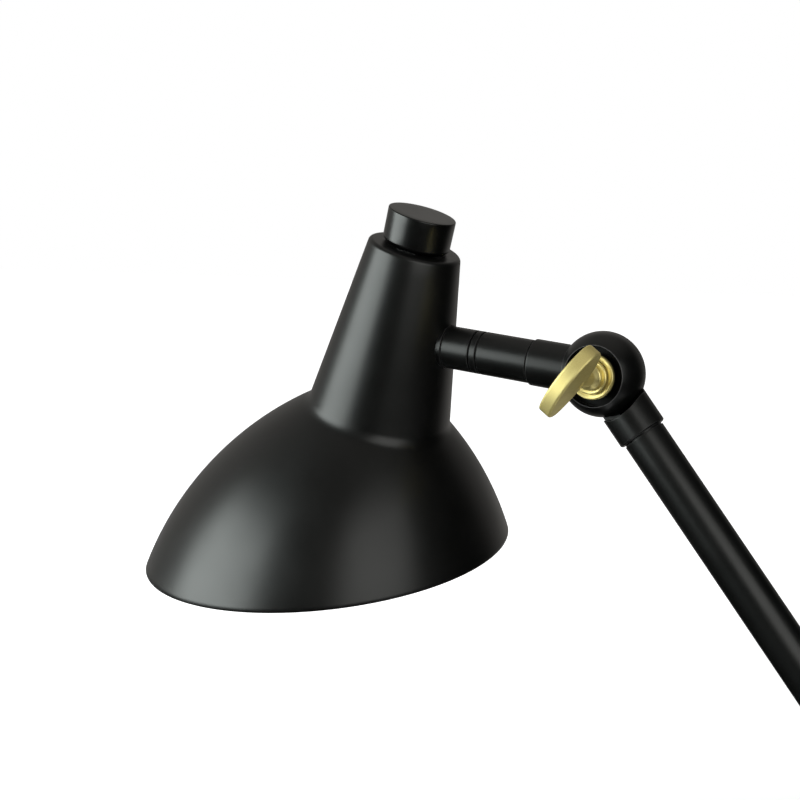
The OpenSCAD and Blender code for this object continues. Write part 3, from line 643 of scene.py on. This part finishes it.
def build_washer(name, pivot, body, node):
    """Washer in a ball's recess, its face dished round the screw's shoulder."""
    place = frame_at(pivot, -Vector(SCREW_AXIS), SHADE_TOP)
    dish = WASHER_TOP - WASHER_DISH
    out, up = SHOULDER_FILLET
    profile = [
        (WASHER_BORE_R, RECESS_FLOOR),
        (WASHER_R - WASHER_FOOT_EDGE, RECESS_FLOOR),
        (WASHER_R, RECESS_FLOOR + WASHER_FOOT_EDGE),
    ]
    corner = (WASHER_R - WASHER_EDGE, WASHER_TOP - WASHER_EDGE)
    profile += arc_points(corner, WASHER_EDGE, 0, 90, 5)
    profile += [(WASHER_R - WASHER_RIM, WASHER_TOP), (SHOULDER_R + out, dish + up), (SHOULDER_R, dish)]
    profile += [(WASHER_BORE_R, dish), (WASHER_BORE_R, RECESS_FLOOR)]
    verts, faces = rings_to_mesh(turned(profile, place, WASHER_POINTS))
    obj = mesh_object(name, verts, faces, body, [node])
    obj.data.materials.append(NODE_MATERIALS[node])


build_washer("upper_washer_turned", UPPER_PIVOT, "stub", "upper_dished_washer")
build_washer("lower_washer_turned", LOWER_PIVOT, "base", "lower_dished_washer")

# ---------------------------------------------------------------- camera

# the camera fitted to the photograph; the distance runs to the upper ball
CAMERA_AZIMUTH = math.radians(19.483)
CAMERA_ELEVATION = math.radians(12.07)
CAMERA_ROLL = math.radians(1.849)
CAMERA_DISTANCE = 385.014 * MM
FOCAL_PX = 1068.413
IMAGE_PX = 800
PRINCIPAL_PX = (588.112, 505.05)
BALL_PX = (602.904, 374.291)
SENSOR_MM = 36


def make_camera():
    ca, sa = math.cos(CAMERA_AZIMUTH), math.sin(CAMERA_AZIMUTH)
    ce, se = math.cos(CAMERA_ELEVATION), math.sin(CAMERA_ELEVATION)
    right = Vector((ca, sa, 0))
    back = Vector((sa * ce, -ca * ce, se))
    up = back.cross(right)
    rolled_right = right * math.cos(CAMERA_ROLL) + up * math.sin(CAMERA_ROLL)
    rolled_up = up * math.cos(CAMERA_ROLL) - right * math.sin(CAMERA_ROLL)
    across = CAMERA_DISTANCE * (BALL_PX[0] - PRINCIPAL_PX[0]) / FOCAL_PX
    above = CAMERA_DISTANCE * (PRINCIPAL_PX[1] - BALL_PX[1]) / FOCAL_PX
    data = bpy.data.cameras.new("photo_camera")
    data.sensor_width = SENSOR_MM
    data.lens = FOCAL_PX * SENSOR_MM / IMAGE_PX
    data.shift_x = (IMAGE_PX / 2 - PRINCIPAL_PX[0]) / IMAGE_PX
    data.shift_y = (PRINCIPAL_PX[1] - IMAGE_PX / 2) / IMAGE_PX
    data.clip_start = 0.01
    data.clip_end = 50
    camera = bpy.data.objects.new("photo_camera", data)
    pose = Matrix((rolled_right, rolled_up, back)).transposed().to_4x4()
    to_ball = rolled_right * across + rolled_up * above - back * CAMERA_DISTANCE
    pose.translation = UPPER_PIVOT - to_ball
    camera.matrix_world = pose
    bpy.context.scene.collection.objects.link(camera)
    bpy.context.scene.camera = camera


make_camera()

# ---------------------------------------------------------------- studio

HEAD_CENTRE = Vector((-0.27, 0, 0.32))
LIGHT_DISTANCE = 1.6
PHOTO_SIDE = math.degrees(CAMERA_AZIMUTH)

WORLD_WHITE = 1.0
WORLD_FILL = 0.25

FLOOR_REACH = 30
FLOOR_DROP = 0.3 * MM
FLOOR_PALE = (0.82, 0.82, 0.82, 1)
FLOOR_GLOW = (0.35, 1.1, 0.42, 1.0)

FLAG_COLUMNS = 48
FLAG_ROWS = 24
FLAG_RADIUS = 3.0
FLAG_TOP = 89.5
FLOOR_FLAG_FROM = 0.18
CARD_COLOUR = (1.0, 0.965, 0.91, 1)

# cards: azimuth, elevation, angles from its middle where the light starts and is full, strength
CARDS = (
    (0, 90, 55, 20, 0.3),
    (PHOTO_SIDE - 160, 10, 60, 25, 0.28),
    (PHOTO_SIDE - 125, 30, 50, 20, 0.3),
    (PHOTO_SIDE - 5, 25, 40, 10, 0.1),
    (PHOTO_SIDE + 175, 25, 32, 14, 0.34),
    (PHOTO_SIDE + 152, 14, 34, 18, 0.2),
    (PHOTO_SIDE + 160, -20, 34, 15, 0.35),
)


def direction(azimuth, elevation):
    """Unit vector in the studio; azimuth 0 is in front of the lamp's plane and 90 on its right."""
    a, e = math.radians(azimuth), math.radians(elevation)
    return Vector((math.sin(a) * math.cos(e), -math.cos(a) * math.cos(e), math.sin(e)))


def softbox(name, azimuth, elevation, wide, high, radiance, colour, in_gloss=True):
    """A rectangular light that spans the given angles, seen from the shade."""
    data = bpy.data.lights.new(name, "AREA")
    data.shape = "RECTANGLE"
    data.size = 2 * LIGHT_DISTANCE * math.tan(math.radians(wide / 2))
    data.size_y = 2 * LIGHT_DISTANCE * math.tan(math.radians(high / 2))
    data.energy = radiance * math.pi * data.size * data.size_y
    data.color = colour
    lamp = bpy.data.objects.new(name, data)
    out = direction(azimuth, elevation)
    lamp.location = HEAD_CENTRE + out * LIGHT_DISTANCE
    lamp.rotation_mode = "QUATERNION"
    lamp.rotation_quaternion = (-out).to_track_quat("-Z", "Y")
    lamp.visible_camera = False
    lamp.visible_glossy = in_gloss
    bpy.context.scene.collection.objects.link(lamp)


softbox("softbox_left", -48.5, 0, wide=50, high=55, radiance=5.9, colour=(0.93, 1.0, 0.97))
softbox("softbox_right", 51, 5, wide=44, high=56, radiance=1.75, colour=(0.99, 1.0, 0.96))
softbox("ceiling_panel", 10, 84, wide=50, high=50, radiance=1.0, colour=(1.0, 0.99, 0.97), in_gloss=False)


def seen_directly(tree):
    """1 for camera, glossy and transmission rays, 0 for the rest."""
    path = tree.nodes.new("ShaderNodeLightPath")
    total = math_node(tree, "ADD", path.outputs["Is Camera Ray"], path.outputs["Is Glossy Ray"])
    return math_node(tree, "ADD", total, path.outputs["Is Transmission Ray"], clamp=True)


def make_world():
    world = bpy.data.worlds.new("white_surround")
    bpy.context.scene.world = world
    world.use_nodes = True
    tree = world.node_tree
    background = tree.nodes["Background"]
    background.inputs["Color"].default_value = (1, 1, 1, 1)
    strength = span(tree, seen_directly(tree), 0.0, 1.0, WORLD_FILL, WORLD_WHITE)
    link(tree, strength, background.inputs["Strength"])


make_world()


def begin_stage(name):
    """A new material with an empty node tree and the place on the object."""
    mat = bpy.data.materials.new(name)
    mat.use_nodes = True
    tree = mat.node_tree
    tree.nodes.clear()
    return mat, tree, tree.nodes.new("ShaderNodeTexCoord").outputs["Object"]


def show(tree, shader):
    """Make the shader the material's surface."""
    link(tree, shader.outputs[0], tree.nodes.new("ShaderNodeOutputMaterial").inputs["Surface"])


def floor_material():
    """Pale matt floor that direct rays see glow more and more with the distance."""
    mat, tree, place = begin_stage("pale_floor")
    distance = vector_node(tree, "LENGTH", place)["Value"]
    glow = span(tree, distance, *FLOOR_GLOW)
    diffuse = tree.nodes.new("ShaderNodeBsdfDiffuse")
    diffuse.inputs["Color"].default_value = FLOOR_PALE
    emission = tree.nodes.new("ShaderNodeEmission")
    link(tree, multiply(tree, seen_directly(tree), glow), emission.inputs["Strength"])
    both = tree.nodes.new("ShaderNodeAddShader")
    link(tree, diffuse.outputs[0], both.inputs[0])
    link(tree, emission.outputs[0], both.inputs[1])
    show(tree, both)
    return mat


def make_floor():
    mesh = bpy.data.meshes.new("floor")
    near, far = -FLOOR_REACH, FLOOR_REACH
    mesh.from_pydata([(near, near, 0), (far, near, 0), (far, far, 0), (near, far, 0)], [], [(0, 1, 2, 3)])
    floor = bpy.data.objects.new("floor", mesh)
    floor.location.z = -FLOOR_DROP
    bpy.context.scene.collection.objects.link(floor)
    mesh.materials.append(floor_material())


make_floor()


def card_material():
    """Black, with pale cards in the directions of CARDS."""
    mat, tree, place = begin_stage("studio_cards")
    unit = vector_node(tree, "NORMALIZE", place)["Vector"]
    total = None
    for azimuth, elevation, start, full, strength in CARDS:
        cosine = dot_product(tree, unit, direction(azimuth, elevation))
        edges = math.cos(math.radians(start)), math.cos(math.radians(full))
        card = span(tree, cosine, *edges, 0.0, strength)
        total = math_node(tree, "MAXIMUM", total, card) if total else card
    emission = tree.nodes.new("ShaderNodeEmission")
    emission.inputs["Color"].default_value = CARD_COLOUR
    link(tree, total, emission.inputs["Strength"])
    show(tree, emission)
    return mat


def make_flags():
    """A sphere and a ring on the floor that only gloss sees, so that black paint stays black."""
    azimuths = [360 * j / FLAG_COLUMNS for j in range(FLAG_COLUMNS)]
    sphere = []
    for i in range(FLAG_ROWS + 1):
        elevation = -FLAG_TOP + 2 * FLAG_TOP * i / FLAG_ROWS
        sphere.append([direction(PHOTO_SIDE + a, elevation) * FLAG_RADIUS for a in azimuths])
    ring = [
        [direction(a, 0) * reach - HEAD_CENTRE for a in azimuths]
        for reach in (FLOOR_FLAG_FROM, FLAG_RADIUS)
    ]
    verts, faces = rings_to_mesh(sphere)
    ring_verts, ring_faces = rings_to_mesh(ring)
    faces += [tuple(len(verts) + v for v in face) for face in ring_faces]
    mesh = bpy.data.meshes.new("studio_flags")
    mesh.from_pydata(verts + ring_verts, [], faces)
    flags = bpy.data.objects.new("studio_flags", mesh)
    flags.location = HEAD_CENTRE
    bpy.context.scene.collection.objects.link(flags)
    flags.visible_camera = False
    flags.visible_diffuse = False
    flags.visible_transmission = False
    flags.visible_shadow = False
    mesh.materials.append(card_material())


make_flags()

bpy.context.scene.view_settings.view_transform = "Standard"
